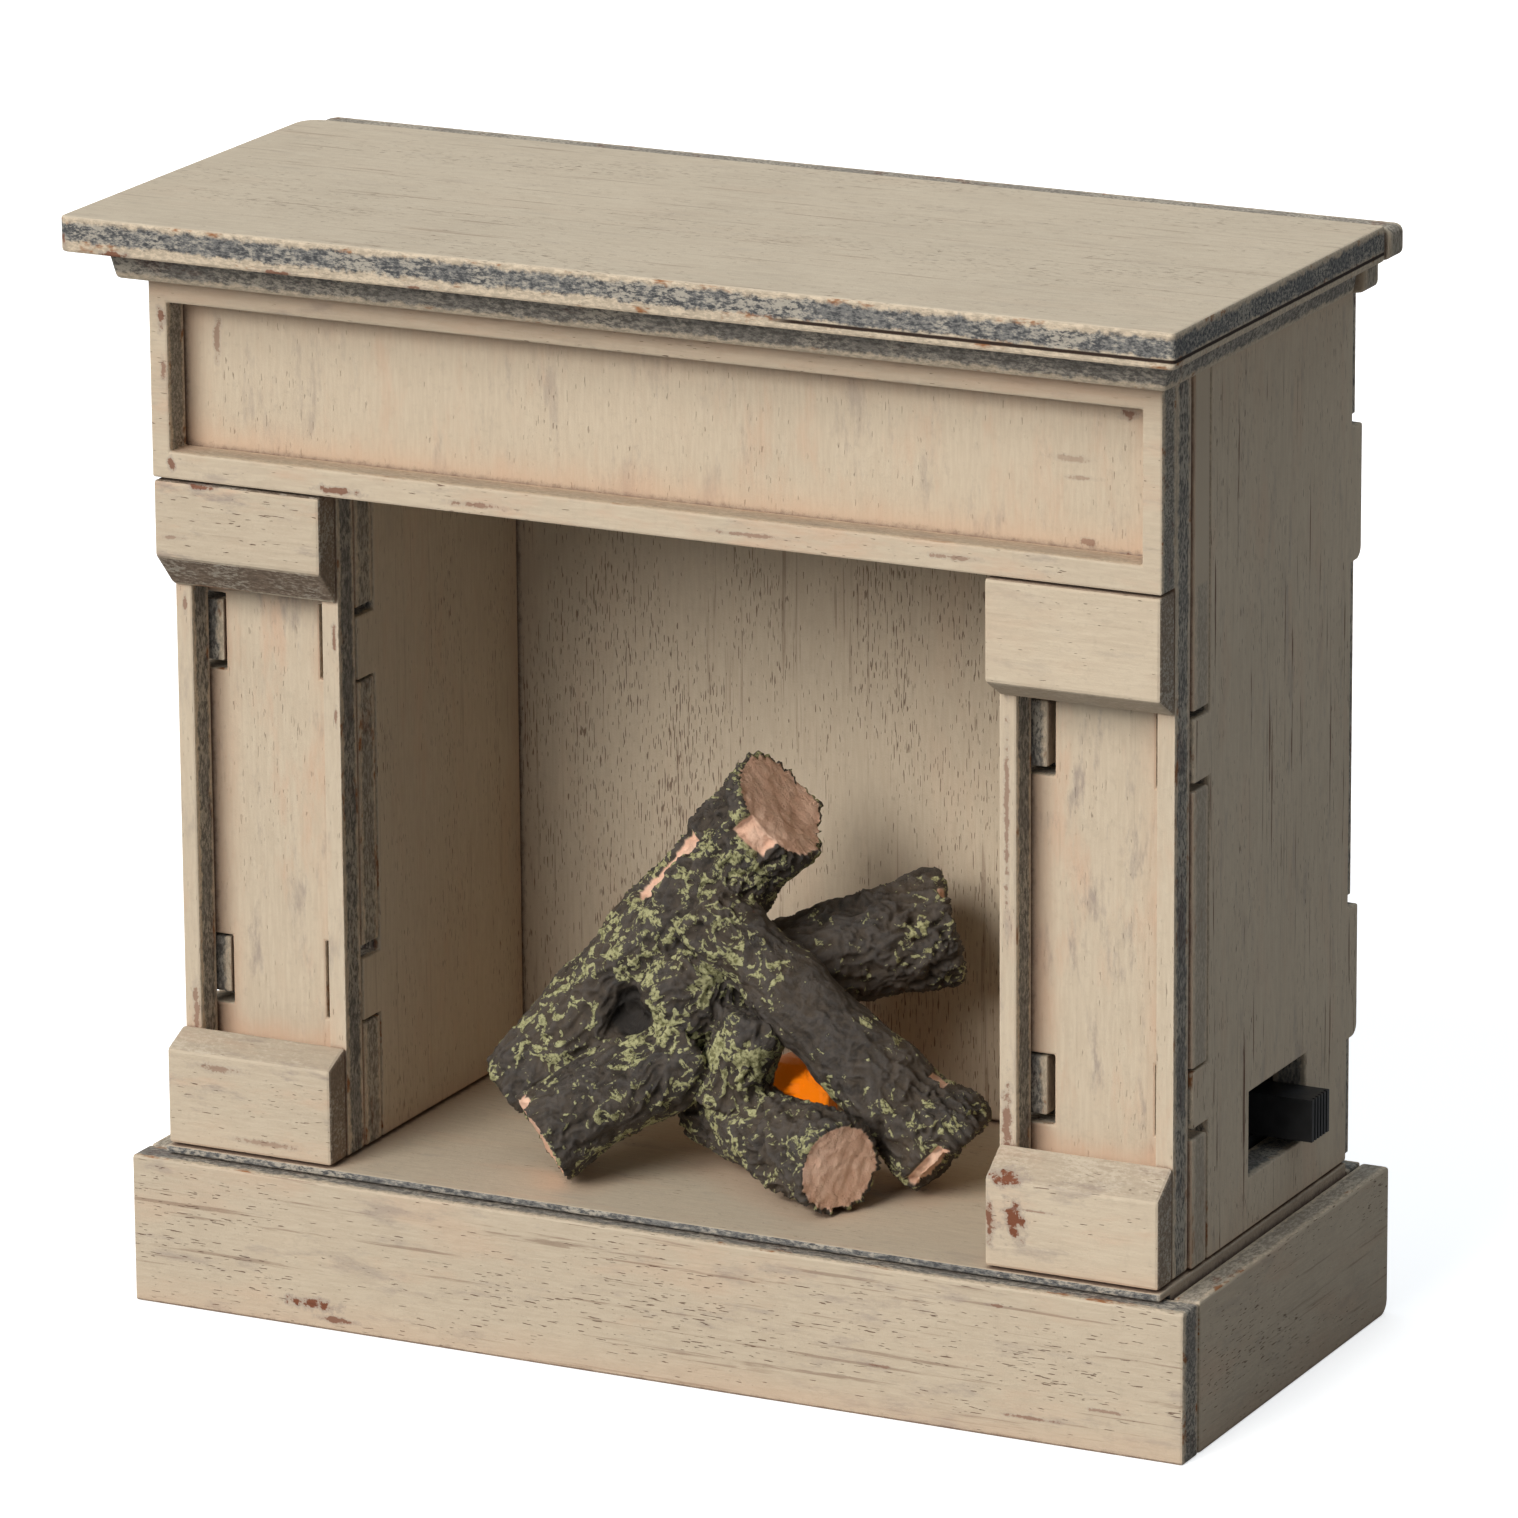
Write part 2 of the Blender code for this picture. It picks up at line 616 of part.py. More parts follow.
def make_leads():
    """Two leads from the switch bay down through the floor and across to the lamp."""
    lamp_x, lamp_y = LAMP
    for name, side, look in (("led_lead_red", 1, RED), ("led_lead_black", -1, BLACK)):
        offset = 0.9 * side
        route = [
            (49.1, 30.0 + 1.4 * side, 21.4),
            (49.1, 30.0 + 1.4 * side, 16.0),
            (47.6, 30.0 + 1.4 * side, 11.6),
            (42.0, 30.2 + 1.2 * side, LEAD_DROP),
            (26.0, 30.6 + 1.0 * side, LEAD_DROP - 0.8),
            (12.0, lamp_y + offset, LEAD_DROP - 0.8),
            (5.4, lamp_y + offset, LEAD_DROP - 0.4),
            (lamp_x, lamp_y + offset, 12.6),
        ]
        wire(name, smooth_route(route), LEAD_R, look)


def helix(centre, radius, low, high, turns, steps=12):
    points = []
    count = int(turns * steps)
    for step in range(count + 1):
        angle = 2 * math.pi * step / steps
        height = low + (high - low) * step / count
        points.append((centre[0] + radius * math.cos(angle), centre[1] + radius * math.sin(angle), height))
    return points


def make_power():
    """The battery box with its cells, contacts, cover and screw."""
    wall = BOX_WALL
    inside_x = (BOX_X[0] + wall, BOX_X[1] - wall)
    middle_x = sum(BOX_X) / 2
    shell = box("battery_box", BOX_X, BOX_Y, BOX_Z, BLACK)
    open_rear = BOX_Y[1] + 1
    bay_y = (BOX_Y[0] + wall, open_rear)
    cells_bay = box("cut_cell_bay", inside_x, bay_y, CELL_BAY, collection=CUTTERS)
    switch_bay = box("cut_switch_bay", inside_x, bay_y, (BOX_Z[0] + wall, SWITCH_BAY_TOP), collection=CUTTERS)
    slot_y = (KNOB_Y[0] - KNOB_TRAVEL - GAP, KNOB_Y[1] + GAP)
    slot_z = (KNOB_Z[0] - GAP, KNOB_Z[1] + GAP)
    knob_slot = box("cut_knob_slot", (inside_x[1] - 1, BOX_X[1] + 1), slot_y, slot_z, collection=CUTTERS)
    through = (BOX_Z[0] - 1, BOX_Z[0] + wall + 1)
    lead_hole = box("cut_lead_hole", LEAD_HOLE_X, LEAD_HOLE_Y, through, collection=CUTTERS)
    post_hole = cylinder(
        "cut_post_hole", (middle_x, 40.0, SCREW_Z), (0, 1, 0), SCREW_HOLE_R, 8.0, collection=CUTTERS, sides=20
    )
    cut(shell, cells_bay, switch_bay, knob_slot, lead_hole, post_hole)

    cover = box("battery_cover", COVER_X, (REAR_COVER_Y, REAR_COVER_END), COVER_Z, PAINT)
    pad = box("join_cell_pad", PAD_X, (PAD_FRONT, REAR_COVER_Y + 0.5), PAD_Z, collection=CUTTERS)
    boolean(cover, pad, "UNION")
    head_depth = 1.1
    sink_start = (middle_x, SCREW_FACE_Y - head_depth - 0.4, SCREW_Z)
    sink = cylinder(
        "cut_screw_sink", sink_start, (0, 1, 0), SCREW_HEAD_R + GAP, 3.0, collection=CUTTERS, sides=24
    )
    shank_start = (middle_x, 50.0, SCREW_Z)
    shank_hole = cylinder(
        "cut_shank_hole", shank_start, (0, 1, 0), SCREW_HOLE_R, 5.0, collection=CUTTERS, sides=20
    )
    cut(cover, sink, shank_hole)

    head = [(0.0, 0.0), (SCREW_HEAD_R - 0.1, 0.0), (SCREW_HEAD_R, -0.15), (SCREW_HEAD_R, -head_depth)]
    shank = [(SCREW_R, -head_depth), (SCREW_R, -11.0), (0.0, -11.8)]
    screw = turned("cover_screw", head + shank, (middle_x, SCREW_FACE_Y, SCREW_Z), STEEL, (0, 1, 0), 20)
    for turn, (wide, tall) in enumerate((CROSS, CROSS[::-1])):
        recess = box(
            f"cut_cross_{turn}",
            (middle_x - wide / 2, middle_x + wide / 2),
            (CROSS_FLOOR_Y, SCREW_FACE_Y + 1),
            (SCREW_Z - tall / 2, SCREW_Z + tall / 2),
            collection=CUTTERS,
        )
        cut(screw, recess)

    for name, y, foot, way in zip(("cell_front", "cell_rear"), CELL_Y, CELL_FOOT, (1, -1)):
        body = CELL_LENGTH
        wrap = [(0.0, body + NUB_HEIGHT), (NUB_R, body + NUB_HEIGHT), (NUB_R, body)]
        wrap += [(CELL_R - 0.4, body), (CELL_R, body - 0.4), (CELL_R, 0.3), (CELL_R - 0.3, 0.0), (0.0, 0.0)]
        z = foot if way > 0 else foot + body
        turned(name, wrap, (middle_x, y, z), CELL_WRAP, (0, 0, way))
    top = CELL_BAY[1] - GAP
    box("contact_bridge", BRIDGE_X, BRIDGE_Y, (top - SHEET_METAL, top), STEEL)
    plate = CELL_BAY[0] + GAP
    box("contact_plate", PLATE_X, PLATE_Y, (plate, plate + SHEET_METAL), STEEL)
    springs = (("contact_spring_low", SPRING_LOW_Z, 1.8), ("contact_spring_high", SPRING_HIGH_Z, 0.9))
    for (name, (low, high), turns), y in zip(springs, CELL_Y):
        wire(name, helix((middle_x, y), SPRING_R, low, high, turns), SPRING_WIRE_R, STEEL)


def make_switch():
    """Slide switch: a fixed body in the lower bay, and a ribbed knob that slides along Y."""
    body = box("switch_body", SWITCH_X, SWITCH_Y, SWITCH_Z, BLACK)
    arris(body, 0.2, 1)
    knob = box("switch_knob", KNOB_X, KNOB_Y, KNOB_Z, BLACK)
    pitch = (KNOB_Y[1] - KNOB_Y[0]) / RIBS
    half_groove = 0.22 * pitch
    for n in range(RIBS - 1):
        y = KNOB_Y[0] + pitch * (n + 1)
        groove = box(
            f"cut_rib_{n}",
            (KNOB_X[1] - RIB_DEPTH, KNOB_X[1] + 1),
            (y - half_groove, y + half_groove),
            (KNOB_Z[0] - 1, KNOB_Z[1] + 1),
            collection=CUTTERS,
        )
        cut(knob, groove)


for existing in list(bpy.data.objects):
    bpy.data.objects.remove(existing)
PARTS = new_collection("fireplace_mantel")
CUTTERS = new_collection("cutters")
make_shelf()
make_back()
make_front()
make_blocks()
make_carcase()
make_base()
make_logs()
make_light()
make_leads()
make_power()
make_switch()
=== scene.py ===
"""Looks of the dolls' house fireplace mantel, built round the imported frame. Metres, +Z up."""

import math

import bmesh
import bpy
from mathutils import Matrix, Vector, noise


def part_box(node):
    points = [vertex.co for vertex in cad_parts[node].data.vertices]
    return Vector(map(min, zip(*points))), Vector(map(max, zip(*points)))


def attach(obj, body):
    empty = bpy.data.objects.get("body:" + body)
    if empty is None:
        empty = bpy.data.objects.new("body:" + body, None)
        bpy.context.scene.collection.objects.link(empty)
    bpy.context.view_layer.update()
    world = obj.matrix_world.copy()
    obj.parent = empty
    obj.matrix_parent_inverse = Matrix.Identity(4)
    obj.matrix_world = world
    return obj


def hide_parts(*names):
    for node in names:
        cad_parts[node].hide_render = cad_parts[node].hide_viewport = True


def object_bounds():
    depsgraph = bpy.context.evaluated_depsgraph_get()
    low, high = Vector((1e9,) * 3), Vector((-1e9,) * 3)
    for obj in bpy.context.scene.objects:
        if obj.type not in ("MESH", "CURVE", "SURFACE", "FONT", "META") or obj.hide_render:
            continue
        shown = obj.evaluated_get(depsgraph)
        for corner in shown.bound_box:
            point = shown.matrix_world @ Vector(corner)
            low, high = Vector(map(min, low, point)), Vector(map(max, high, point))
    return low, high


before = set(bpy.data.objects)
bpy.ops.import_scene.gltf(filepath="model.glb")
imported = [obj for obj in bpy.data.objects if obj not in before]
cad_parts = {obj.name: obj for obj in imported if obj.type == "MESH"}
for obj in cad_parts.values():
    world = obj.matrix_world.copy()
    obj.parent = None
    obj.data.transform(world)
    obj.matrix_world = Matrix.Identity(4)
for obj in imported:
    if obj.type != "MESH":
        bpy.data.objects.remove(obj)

CAD_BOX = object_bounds()
MM = 0.001
FLOOR_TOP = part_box("hearth_floor")[1][2]


# ---------------------------------------------------------------- colours


def srgb(red, green, blue):
    """A display colour, 0 to 255, as the linear colour that a shader takes."""
    def linear(value):
        value /= 255
        return value / 12.92 if value <= 0.04045 else ((value + 0.055) / 1.055) ** 2.4
    return (linear(red), linear(green), linear(blue), 1.0)


CREAM = srgb(201, 185, 162)
CREAM_LIGHT = srgb(218, 205, 182)
PEACH = srgb(208, 170, 142)
RED_BROWN = srgb(122, 74, 52)
ORANGE_BROWN = srgb(150, 102, 66)
LILAC_GREY = srgb(152, 138, 130)
PORE = srgb(98, 70, 55)
EDGE_DARK = srgb(70, 71, 73)
EDGE_MID = srgb(124, 123, 120)
EDGE_PALE = srgb(172, 165, 152)
STAIN_DARK = srgb(72, 56, 48)
STAIN_MID = srgb(118, 99, 84)


# ---------------------------------------------------------------- shader helper


class Shader:
    """A node material under construction; each method adds a node and returns its output."""

    def __init__(self, name):
        self.material = bpy.data.materials.new(name)
        self.material.use_nodes = True
        self.tree = self.material.node_tree
        self.principled = self.tree.nodes["Principled BSDF"]

    def node(self, kind, inputs=None, **settings):
        node = self.tree.nodes.new(kind)
        for key, value in settings.items():
            setattr(node, key, value)
        for key, value in (inputs or {}).items():
            self.feed(node.inputs[key], value)
        return node

    def feed(self, socket, value):
        if isinstance(value, bpy.types.NodeSocket):
            self.tree.links.new(value, socket)
        else:
            socket.default_value = value

    def math(self, operation, a, b=0.0, clamp=False):
        node = self.node("ShaderNodeMath", operation=operation, use_clamp=clamp)
        self.feed(node.inputs[0], a)
        self.feed(node.inputs[1], b)
        return node.outputs[0]

    def vector(self, operation, a, b=(0, 0, 0)):
        node = self.node("ShaderNodeVectorMath", operation=operation)
        self.feed(node.inputs[0], a)
        self.feed(node.inputs[1], b)
        return node.outputs["Value"] if operation in {"DOT_PRODUCT", "LENGTH"} else node.outputs["Vector"]

    def ramp(self, value, low, high, to_low=0.0, to_high=1.0):
        inputs = {"Value": value, "From Min": low, "From Max": high, "To Min": to_low, "To Max": to_high}
        node = self.node("ShaderNodeMapRange", inputs, interpolation_type="SMOOTHSTEP", clamp=True)
        return node.outputs["Result"]

    def mix(self, factor, a, b):
        node = self.node("ShaderNodeMix", data_type="RGBA")
        self.feed(node.inputs["Factor"], factor)
        self.feed(node.inputs[6], a)
        self.feed(node.inputs[7], b)
        return node.outputs[2]

    def noise(self, vector, scale, detail=2.0, roughness=0.5, distortion=0.0):
        inputs = {"Vector": vector, "Scale": scale, "Detail": detail, "Roughness": roughness}
        inputs["Distortion"] = distortion
        return self.node("ShaderNodeTexNoise", inputs).outputs["Fac"]

    def voronoi(self, vector, scale, feature="F1"):
        node = self.node("ShaderNodeTexVoronoi", {"Vector": vector, "Scale": scale}, feature=feature)
        return node.outputs["Distance"]

    def place(self, seed=0.0, stretch=(1, 1, 1)):
        """Object coordinates in millimetres, shifted by a seed and stretched."""
        spot = self.node("ShaderNodeTexCoord").outputs["Object"]
        spot = self.vector("MULTIPLY", spot, tuple(1000.0 * s for s in stretch))
        return self.vector("ADD", spot, (seed * 37.0, seed * 91.0, seed * 53.0))

    def occlusion(self, distance, inside=False, samples=6):
        """How open the surface is; inside, how far it is from a sharp outer edge."""
        node = self.node(
            "ShaderNodeAmbientOcclusion",
            {"Distance": distance},
            inside=inside,
            only_local=inside,
            samples=samples,
        )
        return node.outputs["AO"]

    def bump(self, height, distance, strength=1.0, normal=None):
        inputs = {"Height": height, "Distance": distance, "Strength": strength}
        if normal:
            inputs["Normal"] = normal
        return self.node("ShaderNodeBump", inputs).outputs["Normal"]

    def finish(self, **inputs):
        for key, value in inputs.items():
            self.feed(self.principled.inputs[key.replace("_", " ")], value)
        return self.material


def dress(node, material):
    """Gives a CAD node a new material."""
    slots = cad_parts[node].material_slots
    if not slots:
        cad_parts[node].data.materials.append(material)
    for slot in slots:
        slot.material = material


# ---------------------------------------------------------------- painted ply

AXES = "xyz"


def s_tint(colour, factor):
    return (*(channel * factor for channel in colour[:3]), 1.0)


def edge_paint(s, node, look, seed, cream):
    """Dark stained ply with pale flecks and a rubbed line along each arris, and its mask."""
    facing = s.node("ShaderNodeTexCoord").outputs["Normal"]
    parts = s.node("ShaderNodeSeparateXYZ", {"Vector": facing})
    mask = 0.0
    for axis, weight in zip("XYZ", look["edges"]):
        if weight:
            turned = s.ramp(s.math("ABSOLUTE", parts.outputs[axis]), 0.35, 0.7, 0.0, weight)
            mask = s.math("MAXIMUM", turned, mask)
    drawn = tuple(0.45 if axis == look["grain"] else 1.0 for axis in AXES)
    speckle = s.noise(s.place(seed + 5, drawn), 2.6, 5.0, 0.75)
    drift = s.noise(s.place(seed + 7, (0.3, 0.3, 0.3)), 0.5, 3.0, 0.6)
    fleck = s.math("ADD", speckle, s.math("MULTIPLY", s.math("SUBTRACT", drift, 0.5), 0.55))
    dark, middle = (STAIN_DARK, STAIN_MID) if look["brown"] else (EDGE_DARK, EDGE_MID)
    colour = s.mix(s.ramp(speckle, 0.38, 0.56), dark, middle)
    colour = s.mix(s.ramp(fleck, 0.49, 0.63), colour, EDGE_PALE)
    if look["thick"]:
        index = AXES.index(look["thick"])
        low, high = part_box(node)[0][index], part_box(node)[1][index]
        spot = s.node("ShaderNodeTexCoord").outputs["Object"]
        height = s.node("ShaderNodeSeparateXYZ", {"Vector": spot}).outputs["XYZ"[index]]
        share = s.math("DIVIDE", s.math("SUBTRACT", height, low), high - low)
        wobble = s.math("MULTIPLY", s.math("SUBTRACT", s.noise(s.place(seed + 8), 0.7, 4.0, 0.7), 0.5), 0.5)
        rough_share = s.math("ADD", share, wobble)
        start, stop = look["band"]
        band = s.math("MULTIPLY", s.ramp(rough_share, start, start + 0.12), s.ramp(rough_share, stop - 0.14, stop, 1, 0))
        rim = s.mix(s.ramp(speckle, 0.42, 0.6), s_tint(cream, 0.8), s_tint(cream, 1.12))
        rim = s.mix(s.ramp(s.noise(s.place(seed + 14, drawn), 0.35, 4.0, 0.7), 0.56, 0.66), rim, ORANGE_BROWN)
        colour = s.mix(s.math("MULTIPLY", band, look["edge"]), rim, colour)
        if look.get("split"):
            split_height, split_from = look["split"]
            x = s.node("ShaderNodeSeparateXYZ", {"Vector": spot}).outputs["X"]
            line = s.math("ADD", share, s.math("MULTIPLY", wobble, 0.06))
            crack = s.math("MULTIPLY", s.ramp(line, split_height - 0.07, split_height - 0.03),
                           s.ramp(line, split_height + 0.03, split_height + 0.07, 1, 0))
            crack = s.math("MULTIPLY", crack, s.ramp(x, split_from, split_from + 4 * MM))
            colour = s.mix(crack, colour, srgb(48, 34, 26))
    else:
        colour = s.mix(look["edge"], cream, colour)
    if look.get("kept"):
        half_width, height, keep = look["kept"]
        parts = s.node("ShaderNodeSeparateXYZ", {"Vector": s.node("ShaderNodeTexCoord").outputs["Object"]})
        outer = s.ramp(s.math("ABSOLUTE", parts.outputs["X"]), half_width - MM, half_width)
        above = s.ramp(parts.outputs["Z"], height - 0.3 * MM, height + 0.3 * MM, keep, 1.0)
        colour = s.mix(s.math("MULTIPLY", outer, above), colour, s_tint(cream, 0.97))
    return mask, colour


def painted_ply(node, seed, look):
    """Chalky cream paint brushed thin over ply, with a painted highlight and wear at the arrises and painted shade in
    the corners.
    """
    s = Shader("paint_" + node)
    grain = look["grain"]
    cream = s_tint(CREAM, look["tone"])
    along = tuple(0.1 if axis == grain else 1.0 for axis in AXES)
    long = tuple(0.02 if axis == grain else 1.0 for axis in AXES)
    soft = tuple(0.28 if axis == grain else 1.0 for axis in AXES)
    spot = s.place(seed)
    fibre_spot = s.place(seed, along)
    soft_spot = s.place(seed + 2, soft)

    fibre = s.noise(fibre_spot, 2.6, 5.0, 0.65)
    cloud = s.noise(spot, 0.05, 3.0, 0.55)
    wash = s.noise(soft_spot, 0.2, 5.0, 0.65)
    mottle = s.noise(s.place(seed + 3), 0.9, 5.0, 0.7)
    colour = s.mix(s.ramp(cloud, 0.35, 0.7), cream, s_tint(cream, 0.94))
    colour = s.mix(s.ramp(fibre, 0.35, 0.7, 0.0, 0.4), colour, s_tint(CREAM_LIGHT, look["tone"]))
    colour = s.mix(s.ramp(mottle, 0.5, 0.7, 0.0, 0.45), colour, s_tint(cream, 0.87))
    colour = s.mix(s.ramp(wash, 0.5, 0.7, 0.0, 0.55 * look["ground"]), colour, PEACH)
    smoke = s.noise(s.place(seed + 4, soft), 0.34, 6.0, 0.7)
    colour = s.mix(s.ramp(smoke, 0.53, 0.7, 0.0, 0.6 * look["blotch"]), colour, LILAC_GREY)

    # open pores in patches, and a few long lines
    streak = s.noise(s.place(seed + 1, along), 6.6, 1.0, 0.4)
    patch = s.noise(s.place(seed + 6, soft), 0.13, 4.0, 0.6)
    limit = s.ramp(patch, 0.32, 0.68, 0.78 - 0.05 * look["pores"], 0.71 - 0.14 * look["pores"])
    pore = s.ramp(s.math("SUBTRACT", streak, limit), 0.0, 0.035)
    colour = s.mix(s.math("MULTIPLY", pore, look["pore_depth"]), colour, PORE)
    line = s.noise(s.place(seed + 12, long), 1.5, 3.0, 0.6)
    lines = s.ramp(line, 0.60, 0.67, 0.0, look["lines"])
    broken = s.math("MULTIPLY", lines, s.ramp(s.noise(s.place(seed + 13, along), 1.2, 3.0, 0.6), 0.4, 0.55))
    colour = s.mix(broken, colour, s_tint(PORE, 1.3))

    # peach undercoat round the inner corners, laid there by occlusion as a warm painted shade, and painted dark shade
    # right in them
    near = s.math("ADD", s.occlusion(4.5 * MM), s.math("MULTIPLY", s.math("SUBTRACT", wash, 0.5), 0.9))
    corner_undercoat_and_shade = s.ramp(near, 0.5, 0.92, look["ground"], 0.0)
    colour = s.mix(s.math("MULTIPLY", corner_undercoat_and_shade, 0.75), colour, PEACH)
    # painted shade: dark brown laid into the tightest inner corners
    tight = s.math("ADD", s.occlusion(1.1 * MM), s.math("MULTIPLY", s.math("SUBTRACT", mottle, 0.5), 1.1))
    corner_shade = s.ramp(tight, 0.35, 0.7, 0.75, 0.0)
    colour = s.mix(corner_shade, colour, srgb(108, 82, 70))

    mask, end = edge_paint(s, node, look, seed, cream)
    colour = s.mix(mask, colour, end)

    # arrises: pale along them as a painted highlight, with paint worn through to bare wood here and there
    rim = s.occlusion(0.55 * MM, inside=True)
    rub = s.noise(s.place(seed + 9, soft), 0.9, 5.0, 0.7)
    # painted highlight along the sharp outer edges, mixed with real wear
    arris_highlight_and_wear = s.ramp(s.math("ADD", rim, s.math("MULTIPLY", s.math("SUBTRACT", rub, 0.5), 0.7)), 0.36, 0.62, 1.0, 0.0)
    bare = s.ramp(s.noise(s.place(seed + 11, soft), 0.3, 4.0, 0.65), 0.57, 0.63)
    colour = s.mix(s.math("MULTIPLY", arris_highlight_and_wear, 0.8), colour, s.mix(bare, CREAM_LIGHT, ORANGE_BROWN))

    low, high = (Vector(corner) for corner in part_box(node))
    for share_x, share_z, half_width, half_height, strength in look["chips"]:
        centre = (low.x + share_x * (high.x - low.x), 0, low.z + share_z * (high.z - low.z))
        away = s.vector("SUBTRACT", s.node("ShaderNodeTexCoord").outputs["Object"], centre)
        size = (1 / (half_width * MM), 0, 1 / (half_height * MM))
        away = s.vector("LENGTH", s.vector("MULTIPLY", away, size))
        away = s.math("ADD", away, s.math("MULTIPLY", s.math("SUBTRACT", mottle, 0.5), 3.2))
        colour = s.mix(s.ramp(away, 0.8, 1.25, 0.45 * strength, 0.0), colour, LILAC_GREY)
        colour = s.mix(s.ramp(away, 0.45, 0.75, strength, 0.0), colour, RED_BROWN)

    height = s.math("SUBTRACT", s.math("MULTIPLY", fibre, 0.4), pore)
    grit = s.noise(spot, 5.0, 3.0, 0.6)
    height = s.math("ADD", height, s.math("MULTIPLY", grit, 0.3))
    height = s.math("ADD", height, s.math("MULTIPLY", mottle, 0.5))
    normal = s.bump(height, 0.12 * MM, 0.8)
    return s.finish(Base_Color=colour, Roughness=0.78, Specular_IOR_Level=0.28, Normal=normal)


PLAIN = {
    "grain": "z", "thick": "", "edges": (0, 0, 0), "band": (0.12, 0.9), "edge": 0.85, "tone": 1.0,
    "pores": 0.3, "pore_depth": 0.8, "lines": 0.1, "blotch": 0.5, "ground": 0.4, "brown": False, "chips": (),
}
UPRIGHT_X = {"grain": "z", "thick": "x", "edges": (0, 1, 1)}
UPRIGHT_Y = {"grain": "z", "thick": "y", "edges": (1, 0, 1)}
ACROSS_Y = {"grain": "x", "thick": "y", "edges": (1, 0, 1)}
FLAT = {"grain": "x", "thick": "z", "edges": (1, 1, 0)}
BLOCK = {"grain": "x", "edges": (0.9, 0, 0.35), "edge": 0.8, "brown": True, "pores": 0.1}
SIDE_LOOK = UPRIGHT_X | {"lines": 1.0, "pores": 0.35, "pore_depth": 0.8, "blotch": 0.7, "ground": 0.4, "tone": 1.04}
BASE_SIDE = {"grain": "y", "thick": "x", "edges": (0, 1, 1), "pores": 0.55, "lines": 0.35, "edge": 0.45, "tone": 0.95}
